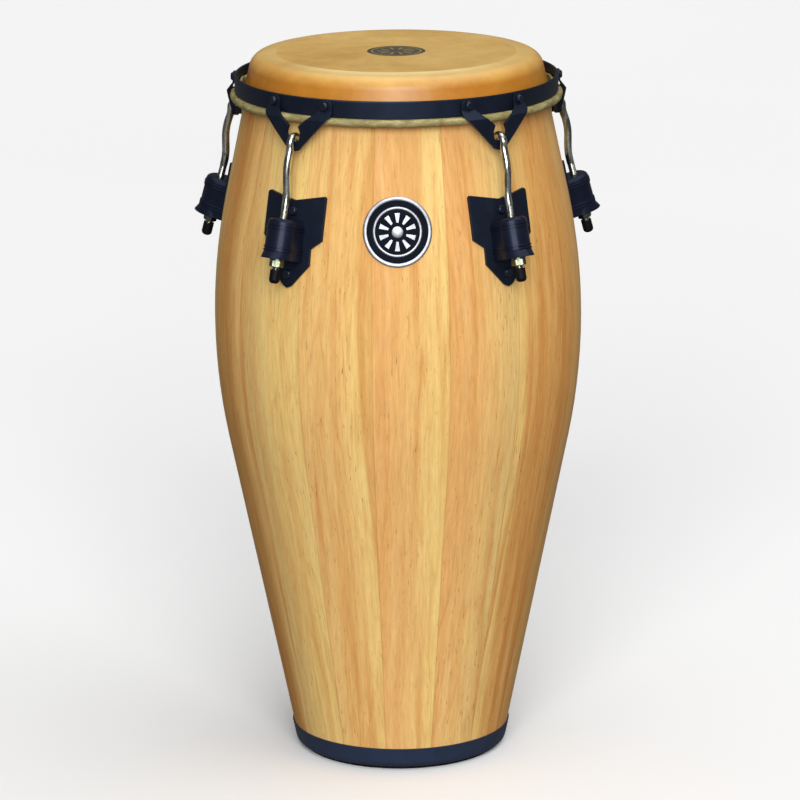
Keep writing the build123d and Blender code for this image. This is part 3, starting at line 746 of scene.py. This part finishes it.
def make_rod(number, azimuth):
    """Hooked rod with a rolled thread from below its last bend to its end."""
    route, end = rod_route()
    last = route[-1]
    straight = (end - last).length
    pieces = ceil(straight / (THREAD_PITCH / THREAD_STEPS))
    points = [(point, 0.0) for point in route]
    for step in range(1, pieces + 1):
        points.append((last + (end - last) * step / pieces, straight * step / pieces))
    away = outward(azimuth)
    side = Vector((-away.y, away.x, 0))
    up = Vector((0, 0, 1))
    around = 20
    vertices = []
    for index, (point, run) in enumerate(points):
        before = points[max(index - 1, 0)][0]
        after = points[min(index + 1, len(points) - 1)][0]
        along = (after - before).normalized()
        normal = away * along.y - up * along.x
        spot = away * point.x + up * point.y
        for step in range(around):
            angle = 2 * pi * step / around
            radius = ROD_RADIUS
            if run > THREAD_START:
                wave = abs(((run / THREAD_PITCH - step / around) % 1) * 2 - 1)
                fade = min((run - THREAD_START) / THREAD_FADE, 1)
                radius -= THREAD_DEPTH * wave * fade
            vertices.append(spot + normal * cos(angle) * radius + side * sin(angle) * radius)
    faces = quads(len(points), around, close_rows=False)
    faces.append(tuple(range(around)))
    last_ring = (len(points) - 1) * around
    faces.append(tuple(last_ring + step for step in reversed(range(around))))
    rod = new_piece(f"threaded_rod_{number}", vertices, faces, CHROME, 80)
    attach(rod, f"rod_{number}")
    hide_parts(f"tension_rod_{number}")


for number, azimuth in enumerate(LUG_AZIMUTHS, 1):
    make_rod(number, azimuth)


# ---------------------------------------------------------------- badge
def on_badge(across, up, lift):
    """A point on the badge's face: across and up from its centre, lifted off the wood."""
    height = BADGE_HEIGHT + up
    radius = wall_radius(height, lift)
    spot = outward(degrees(across / radius)) * radius
    return (spot.x, spot.y, height)


def badge_band(name, inner, outer, profile, material, around=96):
    """A round band on the badge. profile lists (share of the way out, lift)."""
    vertices = []
    for step in range(around):
        angle = 2 * pi * step / around
        for share, lift in profile:
            radius = inner + (outer - inner) * share
            vertices.append(on_badge(radius * cos(angle), radius * sin(angle), lift))
    faces = [(a, d, c, b) for a, b, c, d in quads(around, len(profile))]
    band = new_piece(name, vertices, faces, material, 50)
    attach(band, "shell")
    return band


ENAMEL = black_coat("badge_enamel", (0.002, 0.002, 0.003), 0.14, 0.02, 0.04, 0.0)
BRUSHED = plated("badge_rim_metal", tone(164, 166, 170), tone(134, 136, 142), 0.36, grit=900.0)
rim_profile = [(0, 0.2), (0, 0.95), (0.12, 1.2), (0.5, 1.38), (0.88, 1.25), (1, 1.0), (1, 0.2)]
rim = badge_band("badge_rim", BADGE_RIM_INNER, BADGE_RADIUS, rim_profile, BRUSHED)
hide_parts("badge")
field_profile = [(0, 0.2), (0, 0.85), (1, 0.85), (1, 0.2)]
badge_band("badge_field", 0.4, BADGE_RIM_INNER + 0.1, field_profile, ENAMEL)
badge_band("badge_ring", *BADGE_RING, [(0, 0.8), (0.1, 1.05), (0.9, 1.05), (1, 0.8)], BRUSHED)
boss_profile = [(0, 0.8), (0, 1.12), (0.9, 1.08), (1, 0.8)]
badge_band("badge_boss", 0.2, BADGE_BOSS_RADIUS, boss_profile, BRUSHED)


def make_badge_rays():
    """Short raised rays between the boss and the ring."""
    vertices = []
    faces = []
    for count in range(MARK_RAYS):
        angle = radians(360 / MARK_RAYS * (count + 0.5))
        reach = Vector((cos(angle), sin(angle)))
        side = Vector((-reach.y, reach.x))
        near, far = (reach * span for span in BADGE_RAY_SPAN)
        slim, wide = (side * half for half in BADGE_RAY_HALF)
        corners = [near - slim, near + slim, far + wide, far - wide]
        base = len(vertices)
        for lift in BADGE_RAY_LIFT:
            vertices += [on_badge(corner.x, corner.y, lift) for corner in corners]
        faces.append(tuple(base + 4 + index for index in range(4)))
        faces.append(tuple(base + 3 - index for index in range(4)))
        for index in range(4):
            after = (index + 1) % 4
            faces.append((base + index, base + after, base + 4 + after, base + 4 + index))
    rays = new_piece("badge_rays", vertices, faces, BRUSHED, 30)
    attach(rays, "shell")


make_badge_rays()


# ---------------------------------------------------------------- floor, light and camera
FLOOR_REACH = 30000             # millimetres
WORLD_LIGHT = 0.14
LAMP_DISTANCE = 3               # metres
CAMERA_ACROSS = 0.0014          # metres, and so are the next two
CAMERA_DISTANCE = 4.8667
CAMERA_HEIGHT = 1.6071
CAMERA_PITCH = 14.197           # degrees down from level
CAMERA_ROLL = -0.4
CAMERA_LENS = 212.93


def make_floor():
    """A wide pale sheet under the drum, which throws no colour back on it."""
    floor = Shader("studio_floor")
    soft = floor.noise(floor.position, 0.8, 2.0, 0.5)
    floor.set(Base_Color=floor.ramp(soft, [(0.3, 0.94), (0.7, 0.97)]), Roughness=0.9)
    corners = [(x * FLOOR_REACH, y * FLOOR_REACH, 0) for x, y in ((-1, -1), (1, -1), (1, 1), (-1, 1))]
    sheet = new_piece("studio_floor", corners, [(0, 1, 2, 3)], floor.material)
    sheet.visible_diffuse = False
    sheet.visible_glossy = False


def sun_light(name, azimuth, elevation, power, spread):
    """Distant soft light shining towards the drum from an azimuth and an elevation."""
    lamp = bpy.data.lights.new(name, "SUN")
    lamp.energy = power
    lamp.angle = radians(spread)
    source = outward(azimuth) * cos(radians(elevation)) + Vector((0, 0, sin(radians(elevation))))
    lamp_object = bpy.data.objects.new(name, lamp)
    lamp_object.location = source * LAMP_DISTANCE
    lamp_object.rotation_euler = (-source).to_track_quat("-Z", "Y").to_euler()
    bpy.context.scene.collection.objects.link(lamp_object)


make_floor()
sun_light("front_softbox", 0, 23, 3.05, 42)
sun_light("overhead_softbox", 60, 76, 1.5, 70)

world = bpy.data.worlds.new("studio")
world.use_nodes = True
background = world.node_tree.nodes["Background"]
background.inputs["Color"].default_value = (1.0, 1.0, 1.0, 1.0)
background.inputs["Strength"].default_value = WORLD_LIGHT
bpy.context.scene.world = world
bpy.context.scene.view_settings.view_transform = "Standard"

camera_data = bpy.data.cameras.new("camera")
camera_data.lens = CAMERA_LENS
camera_data.sensor_width = 36.0
camera_data.clip_end = 100.0
camera = bpy.data.objects.new("camera", camera_data)
camera.location = (CAMERA_ACROSS, -CAMERA_DISTANCE, CAMERA_HEIGHT)
camera.rotation_euler = (radians(90 - CAMERA_PITCH), 0, 0)
camera.rotation_euler.rotate_axis("Z", radians(CAMERA_ROLL))
bpy.context.scene.collection.objects.link(camera)
bpy.context.scene.camera = camera
